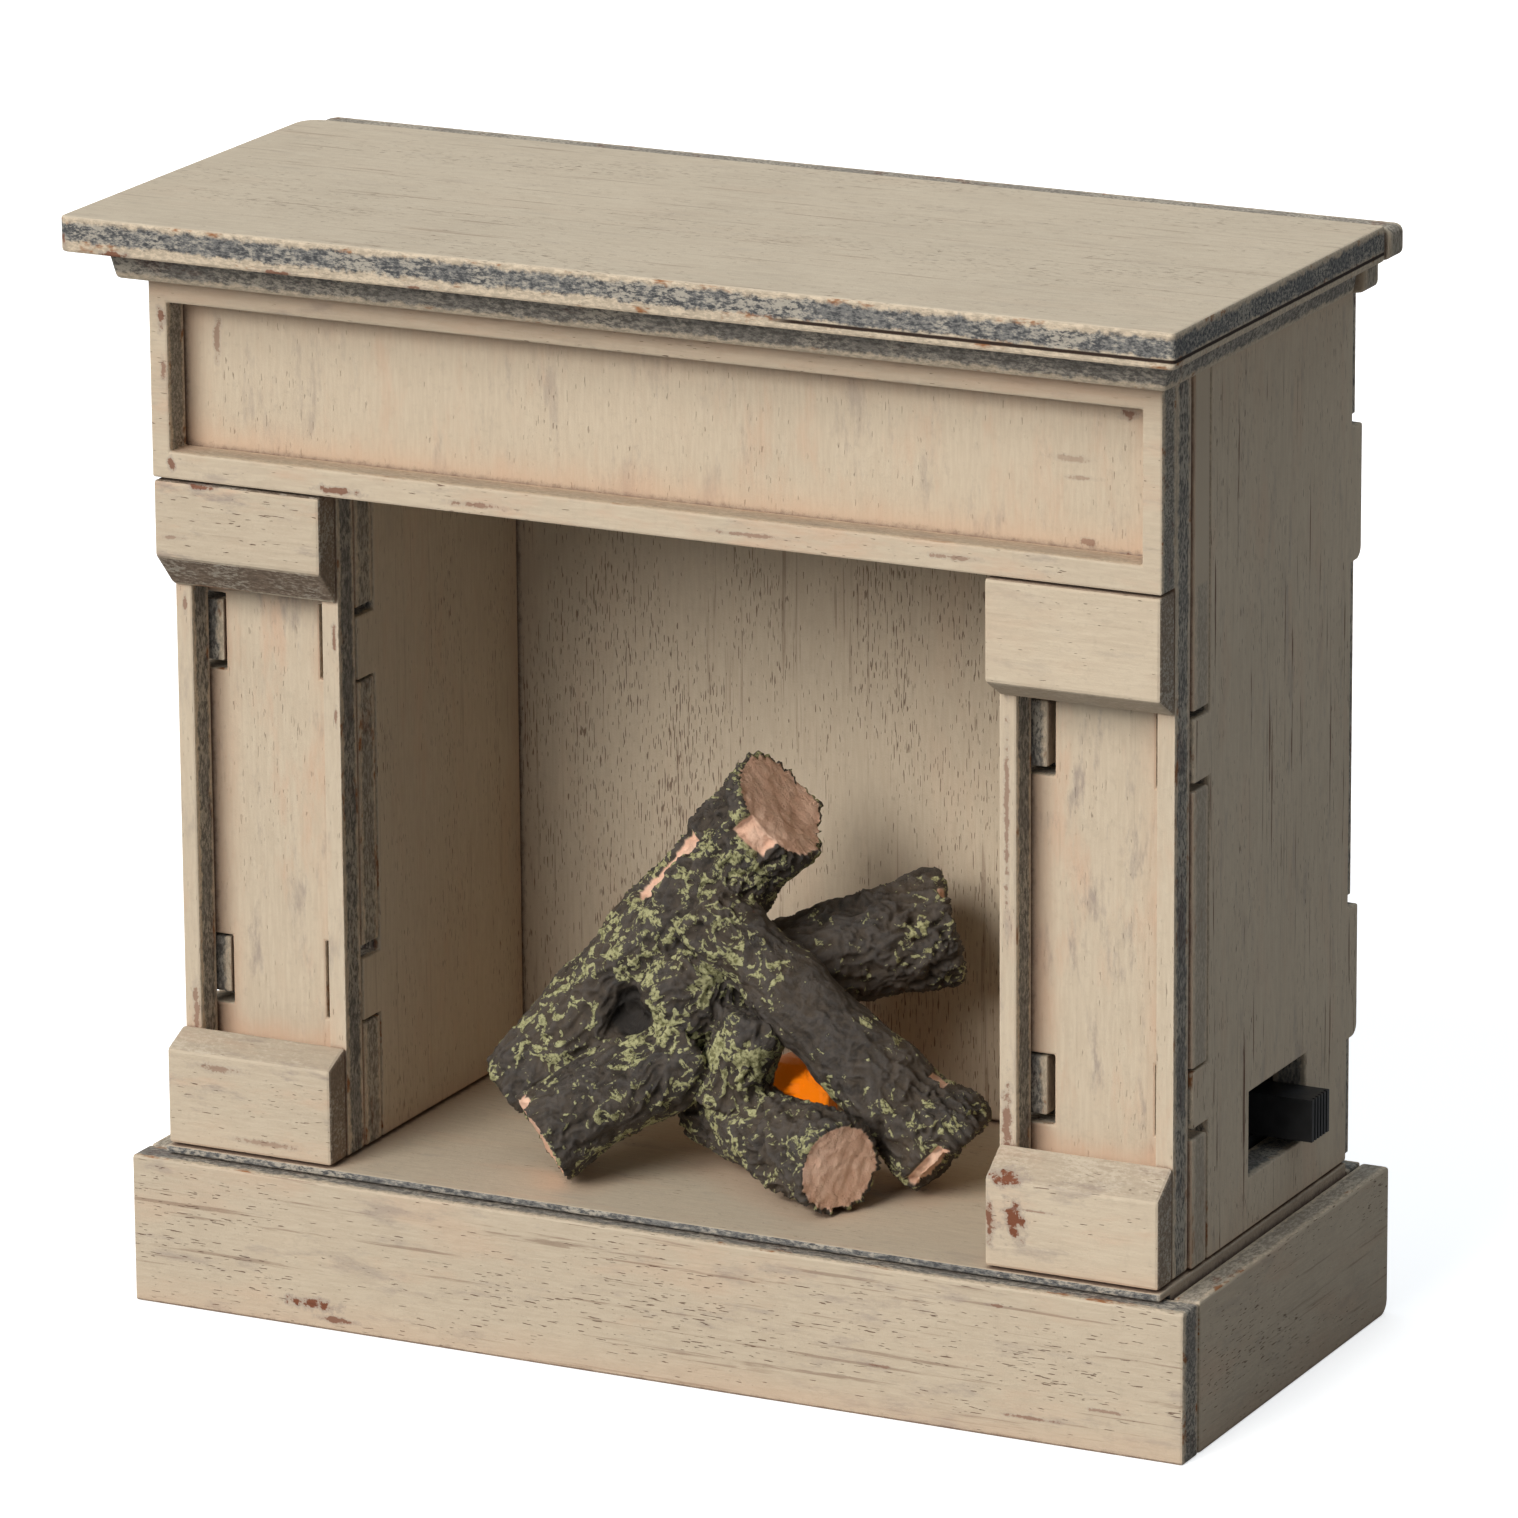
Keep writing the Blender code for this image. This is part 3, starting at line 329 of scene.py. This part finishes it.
# each board's look: how it differs from the plain one, with chips as (share of width, share of height,
# half width, half height, depth) on its front
BOARDS = {
    "mantel_shelf": FLAT | {
        "band": (0.26, 0.9), "edge": 1.0, "tone": 1.0, "pores": 0.35, "lines": 0.35, "blotch": 0.25, "ground": 0.1,
        "split": (0.235, 18 * MM),
        "chips": ((0.004, 0.35, 0.35, 1.1, 0.8), (0.05, 0.04, 2.0, 0.5, 0.9), (0.2, 0.04, 2.4, 0.35, 0.8),
                  (0.33, 0.06, 1.5, 0.3, 0.7)),
    },
    "cornice_board": FLAT | {"band": (0.14, 0.86), "edge": 0.8, "tone": 0.97, "ground": 0.3},
    # its tone below 1 is painted shade, for the back wall deep in the firebox
    "back_panel": UPRIGHT_Y | {
        "edge": 0.6, "pores": 0.85, "lines": 0.4, "pore_depth": 0.7, "blotch": 0.2, "ground": 0.2, "tone": 0.935,
    },
    "rear_cover": UPRIGHT_Y | {"pores": 0.5, "lines": 0.3},
    "face_board": UPRIGHT_Y | {
        "edge": 0.65, "ground": 0.9, "blotch": 1.15, "lines": 0.1, "pores": 0.02, "pore_depth": 0.35,
        "kept": (57 * MM, 92.3 * MM, 0.45),
    },
    "surround_overlay": UPRIGHT_Y | {
        "edge": 0.85, "ground": 0.65, "blotch": 0.7, "pores": 0.0, "pore_depth": 0.45, "lines": 0.05,
        "chips": ((0.9, 0.9, 2.6, 0.5, 0.3), (0.91, 0.88, 2.0, 0.3, 0.35), (0.916, 0.811, 0.9, 0.5, 0.55),
                  (0.955, 0.955, 1.3, 0.6, 0.7), (0.955, 0.798, 1.5, 0.6, 0.7), (0.05, 0.93, 0.5, 3.0, 0.5),
                  (0.165, 0.6, 0.3, 2.0, 0.7), (0.165, 0.51, 0.25, 1.2, 0.6), (0.01, 0.62, 0.3, 1.5, 0.6),
                  (0.012, 0.14, 0.5, 5.0, 0.6), (0.838, 0.5, 0.35, 12.0, 0.55), (0.838, 0.15, 0.7, 5.0, 0.7)),
    },
    "frieze_frame": ACROSS_Y | {
        "edges": (1, 0, 0.4), "edge": 0.75, "ground": 0.8, "blotch": 0.8, "pores": 0.2,
        "chips": ((0.012, 0.8, 0.5, 1.6, 0.8), (0.014, 0.55, 0.4, 1.4, 0.6), (0.02, 0.07, 0.5, 1.0, 0.8),
                  (0.19, 0.04, 3.0, 0.5, 0.8), (0.33, 0.05, 4.0, 0.4, 0.6), (0.6, 0.06, 5.0, 0.3, 0.5),
                  (0.8, 0.07, 3.0, 0.35, 0.5)),
    },
    "cap_block_left": BLOCK | {
        "edges": (0.85, 0, 1.0), "edge": 0.85, "blotch": 1.3, "ground": 1.2, "tone": 0.955,
        "chips": ((0.3, 0.98, 1.8, 0.35, 0.9), (0.12, 0.5, 1.2, 0.3, 0.4)),
    },
    "cap_block_right": BLOCK | {"blotch": 0.4, "ground": 0.3, "tone": 1.02},
    "plinth_block_left": BLOCK | {
        "blotch": 1.3, "ground": 0.7, "tone": 0.96,
        "chips": ((0.3, 0.75, 3.5, 0.5, 0.5), (0.6, 0.12, 5.0, 0.4, 0.4)),
    },
    "plinth_block_right": BLOCK | {
        "blotch": 0.9, "ground": 0.7,
        "chips": ((0.12, 0.8, 2.2, 0.9, 1.0), (0.17, 0.44, 1.5, 2.2, 1.0), (0.03, 0.4, 0.8, 2.4, 0.9),
                  (0.3, 0.55, 3.0, 0.2, 0.5)),
    },
    "side_panel_left": SIDE_LOOK,
    "side_panel_right": SIDE_LOOK,
    "cheek_left": UPRIGHT_X | {"pores": 0.5, "blotch": 0.2, "ground": 0.4, "lines": 0.2},
    "cheek_right": UPRIGHT_X | {"pores": 0.5, "blotch": 0.2, "ground": 0.4, "lines": 0.2},
    "firebox_ceiling": FLAT | {"pores": 0.4},
    "hearth_floor": FLAT | {
        "edges": (0.25, 1, 0), "pores": 0.1, "lines": 0.05, "edge": 1.0, "band": (0.05, 1.2), "tone": 0.92,
    },
    # its tone below 1 is painted shade: the base, low down, gets less light
    "base_front": ACROSS_Y | {
        "pores": 0.28, "lines": 0.45, "blotch": 0.8, "edge": 0.8, "tone": 0.94,
        "chips": ((0.175, 0.17, 3.2, 0.75, 1.0), (0.2, 0.08, 2.4, 0.4, 0.8), (0.86, 0.16, 3.5, 0.25, 0.6),
                  (0.83, 0.87, 1.5, 0.25, 0.6), (0.93, 0.28, 2.5, 0.25, 0.5), (0.72, 0.35, 2.0, 0.2, 0.5)),
    },
    "base_left": BASE_SIDE,
    "base_right": BASE_SIDE,
    "base_back": ACROSS_Y | {"pores": 0.5},
    "base_plate": FLAT,
    "battery_cover": UPRIGHT_Y,
}


def dress_boards():
    for seed, (node, look) in enumerate(BOARDS.items(), 1):
        dress(node, painted_ply(node, seed, PLAIN | look))


# ---------------------------------------------------------------- small parts


def plastic(name, colour, roughness=0.45):
    s = Shader(name)
    grain = s.noise(s.place(3), 6.0, 3.0, 0.6)
    cloud = s.noise(s.place(8), 0.6, 3.0, 0.5)
    tone = s.mix(s.ramp(cloud, 0.3, 0.7), colour, s_tint(colour, 1.5))
    normal = s.bump(grain, 0.03 * MM, 0.5)
    rough = s.ramp(cloud, 0.3, 0.7, roughness - 0.06, roughness + 0.08)
    return s.finish(Base_Color=tone, Roughness=rough, Normal=normal)


def metal(name, colour, roughness=0.3):
    s = Shader(name)
    scratch = s.noise(s.place(4, (1, 0.15, 1)), 4.0, 4.0, 0.6)
    tone = s.mix(s.ramp(scratch, 0.3, 0.7), colour, s_tint(colour, 0.8))
    rough = s.ramp(scratch, 0.3, 0.7, roughness - 0.08, roughness + 0.1)
    return s.finish(Base_Color=tone, Metallic=1.0, Roughness=rough, Normal=s.bump(scratch, 0.02 * MM, 0.4))


def glowing(name, colour, glow, strength, transmission, centre, reach):
    """Clear coloured resin lit from inside, brightest near its centre of light."""
    s = Shader(name)
    swirl = s.noise(s.place(6), 0.5, 3.0, 0.6, 0.6)
    tone = s.mix(s.ramp(swirl, 0.3, 0.7), colour, s_tint(colour, 0.6))
    away = s.vector("SUBTRACT", s.node("ShaderNodeTexCoord").outputs["Object"], tuple(centre))
    away = s.math("ADD", s.vector("LENGTH", away), s.math("MULTIPLY", s.math("SUBTRACT", swirl, 0.5), 3 * MM))
    hot = s.mix(s.ramp(away, 0.5 * reach, reach), glow, s_tint(glow, 0.12))
    s.principled.inputs["Transmission Weight"].default_value = transmission
    s.principled.inputs["Emission Strength"].default_value = strength
    return s.finish(Base_Color=tone, Roughness=0.2, Emission_Color=hot, Normal=s.bump(swirl, 0.1 * MM, 0.3))


def dress_small_parts():
    black = plastic("black_plastic", srgb(34, 34, 35))
    for name in ("battery_box", "switch_body", "switch_knob", "led_lead_black"):
        dress(name, black)
    dress("led_lead_red", plastic("red_pvc", srgb(150, 24, 20), 0.4))
    steel = metal("nickel_plate", srgb(190, 188, 182))
    for name in ("cover_screw", "contact_bridge", "contact_plate", "contact_spring_low", "contact_spring_high"):
        dress(name, steel)
    wrap = plastic("cell_film", srgb(40, 96, 66), 0.32)
    for name in ("cell_front", "cell_rear"):
        dress(name, wrap)
    amber, flame = srgb(150, 84, 26), srgb(240, 128, 16)
    dress("ember_lens", glowing("amber_resin", amber, flame, 0.75, 0.5, at(6.0, 28.3, 25.0), 2.8 * MM))
    low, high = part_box("led")
    middle = [(a + b) / 2 for a, b in zip(low, high)]
    dress("led", glowing("led_resin", srgb(255, 214, 150), srgb(255, 170, 80), 6.0, 0.2, middle, 20 * MM))


# ---------------------------------------------------------------- log stack

Y_FRONT = CAD_BOX[0][1] + 7.4 * MM      # the front of the base, from which y is counted below

# the logs and the masses that join them: ends in millimetres as in the CAD casting, and the radius at each end
LOGS = (
    ("leaning", (-23.1, 16.0, 24.8), (6.9, 27.1, 61.8), 5.2, 6.2),
    ("foot", (-16.2, 7.6, 22.9), (-3.4, 18.0, 32.1), 5.3, 5.3),
    ("crossing", (-2.0, 19.0, 47.6), (25.6, 22.6, 22.8), 3.9, 5.8),
    ("front", (-3.5, 23.0, 24.4), (17.8, 10.9, 23.2), 4.4, 4.9),
    ("back", (0.0, 26.0, 38.2), (17.0, 39.2, 42.5), 5.2, 6.1),
    ("seam", (-17.5, 14.5, 26.0), (-6.0, 20.0, 36.0), 2.8, 3.8),
    ("web", (4.0, 19.2, 36.5), (0.9, 18.0, 26.5), 4.5, 4.0),
)
KNOT = ((-4.5, 20.0, 37.5), 6.6)
SAW_CUT = ((3.8, 26.0, 58.0), (0.76, -0.04, 0.64))
HOLLOW = ((-9.0, 16.6, 35.2), 3.4)       # a hollow where the leaning and the foot log part, pressed in and painted dark as shade
UNDER_BARK = 0.3                       # how far the smooth core lies inside the CAD casting
# ends sawn through the bark: log and end (0 its start, 1 its far end); the leaning log's is slanted
SAWN = {("leaning", 1), ("foot", 0), ("front", 1)}
# bark torn off: log, reach along it, the side that it faces, half width and depth in millimetres
TORN = (
    ("leaning", 0.52, 0.74, (-0.5, -0.51, 0.7), 1.5, 0.9),
    ("leaning", 0.80, 0.93, (0.35, -0.9, 0.15), 2.2, 0.6),
    ("crossing", 0.79, 0.87, (0.65, 0.2, 0.73), 1.0, 0.5),
    ("crossing", 0.95, 1.2, (0.02, -0.98, -0.2), 2.4, 0.5),
    ("back", 0.95, 1.2, (0.1, -0.6, 0.78), 0.8, 0.4),
    ("foot", -0.3, 0.07, (-0.55, -0.6, 0.58), 2.6, 0.6),
)


def at(x, y, z):
    """Millimetres, with y from the front of the base, as a world point."""
    return Vector((x * MM, y * MM + Y_FRONT, z * MM))


def log_core(bm, name, start, end, radius, end_radius):
    """One log as a smooth core, cut on the slant where it is the leaning one."""
    a, b = at(*start), at(*end)
    along = (b - a).normalized()
    matrix = Matrix.Translation((a + b) / 2) @ along.to_track_quat("Z", "Y").to_matrix().to_4x4()
    verts = bmesh.ops.create_cone(
        bm, cap_ends=True, segments=48, radius1=(radius - UNDER_BARK) * MM,
        radius2=(end_radius - UNDER_BARK) * MM, depth=(b - a).length, matrix=matrix,
    )["verts"]
    if name == "leaning":
        faces = {face for vertex in verts for face in vertex.link_faces}
        edges = {edge for vertex in verts for edge in vertex.link_edges}
        place, facing = SAW_CUT
        cut = bmesh.ops.bisect_plane(
            bm, geom=[*verts, *edges, *faces], plane_co=at(*place), plane_no=Vector(facing), clear_outer=True
        )
        rim = [piece for piece in cut["geom_cut"] if isinstance(piece, bmesh.types.BMEdge)]
        bmesh.ops.contextual_create(bm, geom=rim)


def make_logs():
    bm = bmesh.new()
    for values in LOGS:
        log_core(bm, *values)
    bmesh.ops.create_icosphere(
        bm, subdivisions=3, radius=(KNOT[1] - UNDER_BARK) * MM, matrix=Matrix.Translation(at(*KNOT[0]))
    )
    mesh = bpy.data.meshes.new("logs")
    bm.to_mesh(mesh)
    bm.free()
    logs = bpy.data.objects.new("logs", mesh)
    bpy.context.scene.collection.objects.link(logs)
    remesh = logs.modifiers.new("remesh", "REMESH")
    remesh.mode = "VOXEL"
    remesh.voxel_size = 0.26 * MM
    smooth = logs.modifiers.new("smooth", "SMOOTH")
    smooth.iterations = 3
    bpy.context.view_layer.update()
    fine = bpy.data.meshes.new_from_object(logs.evaluated_get(bpy.context.evaluated_depsgraph_get()))
    logs.modifiers.clear()
    logs.data = fine
    carve_bark(fine)
    fine.shade_smooth()
    fine.materials.clear()
    fine.materials.append(bark_material())
    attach(logs, "mantel")
    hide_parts("log_stack")
    return logs


def nearest_log(spot):
    """The log whose skin is nearest: its name, the share along it, its axis, and the way out from the axis."""
    best = None
    for name, start, end, radius, end_radius in LOGS:
        a, b = at(*start), at(*end)
        along = b - a
        share = (spot - a).dot(along) / along.length_squared
        inside = min(max(share, 0.0), 1.0)
        away = spot - (a + along * inside)
        gap = away.length / MM - (radius + (end_radius - radius) * inside)
        if best is None or gap < best[0]:
            out = spot - (a + along * share)
            best = (gap, name, share, along, out.normalized(), radius)
    return best[1:]


def ridges(spot, axis, scale):
    """Bark height: ridges drawn out along the log."""
    along = spot.dot(axis)
    drawn = (spot - axis * along * 0.62) * scale
    warp = noise.noise_vector(spot * 0.5 * scale) * 1.1
    plates = 1.0 - abs(noise.noise(drawn + warp)) * 2.2
    fine = 1.0 - abs(noise.noise(drawn * 2.4 + warp * 1.5)) * 2.2
    return 0.6 * plates + 0.4 * fine


def roughness_of(name, share):
    """Ends are rugged, and the middles of the crossing and the foot log smooth."""
    if name in {"web", "seam"}:
        return 0.7
    if name == "crossing":
        return 0.35 + 0.75 * min(1.0, max(0.0, abs(share - 0.42) * 3 - 0.5))
    if name == "foot":
        return 0.6
    return 0.65 + 0.6 * min(1.0, max(0.0, share - 0.35) * 2)


def torn_at(name, share, out, radius, spot):
    """How much of the bark is torn off here, and how deep."""
    for torn_name, low, high, side, half_width, depth in TORN:
        if name != torn_name or not low < share < high:
            continue
        across = math.acos(max(-1.0, min(1.0, out.dot(Vector(side).normalized())))) * radius
        ends = min(share - low, high - share) * 30
        edge = half_width - across + 0.9 * noise.noise(spot * 0.8)
        torn = max(0.0, min(1.0, 0.5 + min(edge, ends - 0.4) * 2.5))
        if torn > 0:
            return torn, depth
    return 0.0, 0.0


def lichen_density(name, share, spot):
    knot = math.exp(-((spot - at(*KNOT[0]) / MM).length / 11) ** 2)
    web = math.exp(-((spot - at(5.5, 17.5, 30.5) / MM).length / 4) ** 2)
    density = 0.462 + 0.18 * knot + 0.12 * web
    if name == "leaning" and share > 0.62:
        density += 0.05
    if name == "back":
        density += 0.1 * min(1.0, max(0.0, (share - 0.72) * 8)) - 0.12
    if name == "crossing":
        density -= 0.25 * math.exp(-((share - 0.45) / 0.16) ** 2)
    return density


def carve_bark(mesh):
    """Moves the vertices into bark, and marks bare wood, height and lichen in a colour attribute; the height mark,
    zeroed in the hollow, sets the painted highlight and shade of the bark.
    """
    marks = mesh.color_attributes.new("marks", "FLOAT_COLOR", "POINT")
    normals = [vertex.normal.copy() for vertex in mesh.vertices]
    hollow = at(*HOLLOW[0]) / MM
    for vertex, normal in zip(mesh.vertices, normals):
        spot = vertex.co / MM
        name, share, along, out, radius = nearest_log(vertex.co)
        axis = along.normalized()
        end = 1 if share > 0.5 else 0
        sawn = 0.0
        if (name, end) in SAWN:
            if name == "leaning":
                plane, facing = at(*SAW_CUT[0]), Vector(SAW_CUT[1]).normalized()
            else:
                plane = at(*next(log[1 + end] for log in LOGS if log[0] == name))
                facing = axis * (1 if end else -1)
            if abs((vertex.co - plane).dot(facing)) < 0.7 * MM:
                sawn = max(0.0, min(1.0, (normal.dot(facing) - 0.6) / 0.25))
        height = ridges(spot, axis, 0.75)
        lump = noise.noise(spot * 0.19 + Vector((3.1, 7.7, 1.3)))
        torn, depth = torn_at(name, share, out, radius, spot)
        crumb = noise.noise(spot * 2.1) * 0.1 + noise.noise(spot * 0.9) * 0.22
        bark = roughness_of(name, share) * (0.85 * height - 0.15) + 0.9 * lump
        bark = bark * (1 - torn) + torn * (0.5 * lump + crumb - depth)
        move = bark * (1 - sawn) + sawn * (0.7 * crumb + 0.4 * lump - 0.1)
        pit = math.exp(-((spot - hollow).length / HOLLOW[1]) ** 4)
        move -= 1.6 * pit
        vertex.co += normal * move * MM
        vertex.co.z = max(vertex.co.z, FLOOR_TOP + 0.25 * MM)
        # height mark for painted light: ridge tops lit, grooves and the hollow shaded
        light = (height * 0.5 + 0.5) * (1 - pit)
        lichen = lichen_density(name, share, spot) - 0.4 * pit
        marks.data[vertex.index].color = (max(sawn, torn), light, lichen, 1.0)


def bark_material():
    s = Shader("painted_bark")
    marks = s.node("ShaderNodeAttribute", attribute_name="marks").outputs["Color"]
    split = s.node("ShaderNodeSeparateColor", {"Color": marks})
    bare = s.ramp(split.outputs["Red"], 0.35, 0.65)
    height = split.outputs["Green"]
    spot = s.place(1)
    crumble = s.noise(spot, 1.1, 6.0, 0.7)
    broad = s.noise(spot, 0.12, 2.0, 0.5)
    colour = s.mix(s.ramp(crumble, 0.35, 0.65), srgb(43, 37, 31), srgb(79, 69, 58))
    colour = s.mix(s.ramp(broad, 0.4, 0.65, 0.0, 0.4), colour, srgb(92, 78, 62))
    # painted highlight: greyer ridge tops; painted shade: near black in the grooves and the hollow
    colour = s.mix(s.ramp(height, 0.62, 0.95, 0.0, 0.3), colour, srgb(104, 100, 98))
    colour = s.mix(s.ramp(height, 0.18, 0.42, 0.75, 0.0), colour, srgb(22, 19, 17))
    patch = s.noise(s.place(2), 0.2, 3.0, 0.6, 0.5)
    flake = s.noise(s.place(3), 0.62, 3.0, 0.6, 1.2)
    crisp = s.noise(s.place(5), 2.4, 3.0, 0.6, 0.6)
    total = s.math("ADD", s.math("MULTIPLY", patch, 0.8), s.math("MULTIPLY", flake, 1.0))
    total = s.math("ADD", total, s.math("MULTIPLY", crisp, 0.22))
    total = s.math("ADD", total, s.math("MULTIPLY", split.outputs["Blue"], 0.75))
    total = s.math("ADD", total, s.math("MULTIPLY", height, 0.2))
    lichen = s.ramp(total, 1.6, 1.64)
    green = s.mix(s.ramp(crisp, 0.35, 0.6), srgb(112, 110, 68), srgb(190, 188, 140))
    colour = s.mix(s.math("MULTIPLY", lichen, 0.95), colour, green)
    wood = s.mix(s.ramp(s.noise(spot, 0.7, 4.0, 0.6), 0.3, 0.75), srgb(236, 190, 162), srgb(248, 210, 184))
    colour = s.mix(bare, colour, wood)
    relief = s.math("ADD", s.math("MULTIPLY", lichen, 0.35), s.noise(spot, 2.4, 6.0, 0.75))
    rough = s.ramp(crumble, 0.3, 0.7, 0.42, 0.75)
    return s.finish(Base_Color=colour, Roughness=rough, Normal=s.bump(relief, 0.3 * MM, 0.9))


# ---------------------------------------------------------------- camera, light and floor


def make_camera():
    camera = bpy.data.cameras.new("camera")
    camera.sensor_width = 36.0
    camera.lens = 236.63
    camera.clip_start = 0.05
    camera.clip_end = 20.0
    turn, tilt, roll = (math.radians(a) for a in (26.542, 15.809, -0.421))
    forward = Vector((-math.sin(turn) * math.cos(tilt), math.cos(turn) * math.cos(tilt), -math.sin(tilt)))
    right = Vector((math.cos(turn), math.sin(turn), 0.0))
    up = right.cross(forward)
    rolled_right = right * math.cos(roll) + up * math.sin(roll)
    rolled_up = up * math.cos(roll) - right * math.sin(roll)
    matrix = Matrix((rolled_right, rolled_up, -forward)).transposed().to_4x4()
    matrix.translation = Vector((0.46335, -0.92313, 0.35570))
    obj = bpy.data.objects.new("camera", camera)
    bpy.context.scene.collection.objects.link(obj)
    obj.matrix_world = matrix
    bpy.context.scene.camera = obj


def sun(name, direction, strength, angle, colour):
    light = bpy.data.lights.new(name, "SUN")
    light.energy = strength
    light.angle = math.radians(angle)
    light.color = colour
    obj = bpy.data.objects.new(name, light)
    bpy.context.scene.collection.objects.link(obj)
    obj.rotation_mode = "QUATERNION"
    obj.rotation_quaternion = (-Vector(direction)).to_track_quat("-Z", "Y")


def make_light():
    sun("key", (-0.28, -0.87, 0.52), 3.1, 36, (1.0, 0.965, 0.925))
    sun("overhead", (-0.1, 0.1, 1.0), 1.12, 70, (0.80, 0.91, 1.0))
    world = bpy.data.worlds.new("studio")
    bpy.context.scene.world = world
    world.use_nodes = True
    background = world.node_tree.nodes["Background"]
    background.inputs["Color"].default_value = (0.95, 0.97, 1.0, 1.0)
    background.inputs["Strength"].default_value = 0.17
    bpy.context.scene.view_settings.view_transform = "Standard"


def make_floor():
    bm = bmesh.new()
    bmesh.ops.create_grid(bm, x_segments=1, y_segments=1, size=6.0)
    mesh = bpy.data.meshes.new("floor")
    bm.to_mesh(mesh)
    bm.free()
    floor = bpy.data.objects.new("floor", mesh)
    bpy.context.scene.collection.objects.link(floor)
    s = Shader("floor")
    seen = s.node("ShaderNodeLightPath").outputs["Is Camera Ray"]
    s.principled.inputs["Roughness"].default_value = 1.0
    s.principled.inputs["Specular IOR Level"].default_value = 0.0
    s.feed(s.principled.inputs["Base Color"], s.mix(seen, (0.3, 0.3, 0.3, 1), (0.85, 0.85, 0.85, 1)))
    s.feed(s.principled.inputs["Emission Color"], (1, 1, 1, 1))
    s.feed(s.principled.inputs["Emission Strength"], s.math("MULTIPLY", seen, 0.62))
    mesh.materials.append(s.material)


make_camera()
dress_boards()
dress_small_parts()
make_logs()
make_light()
make_floor()
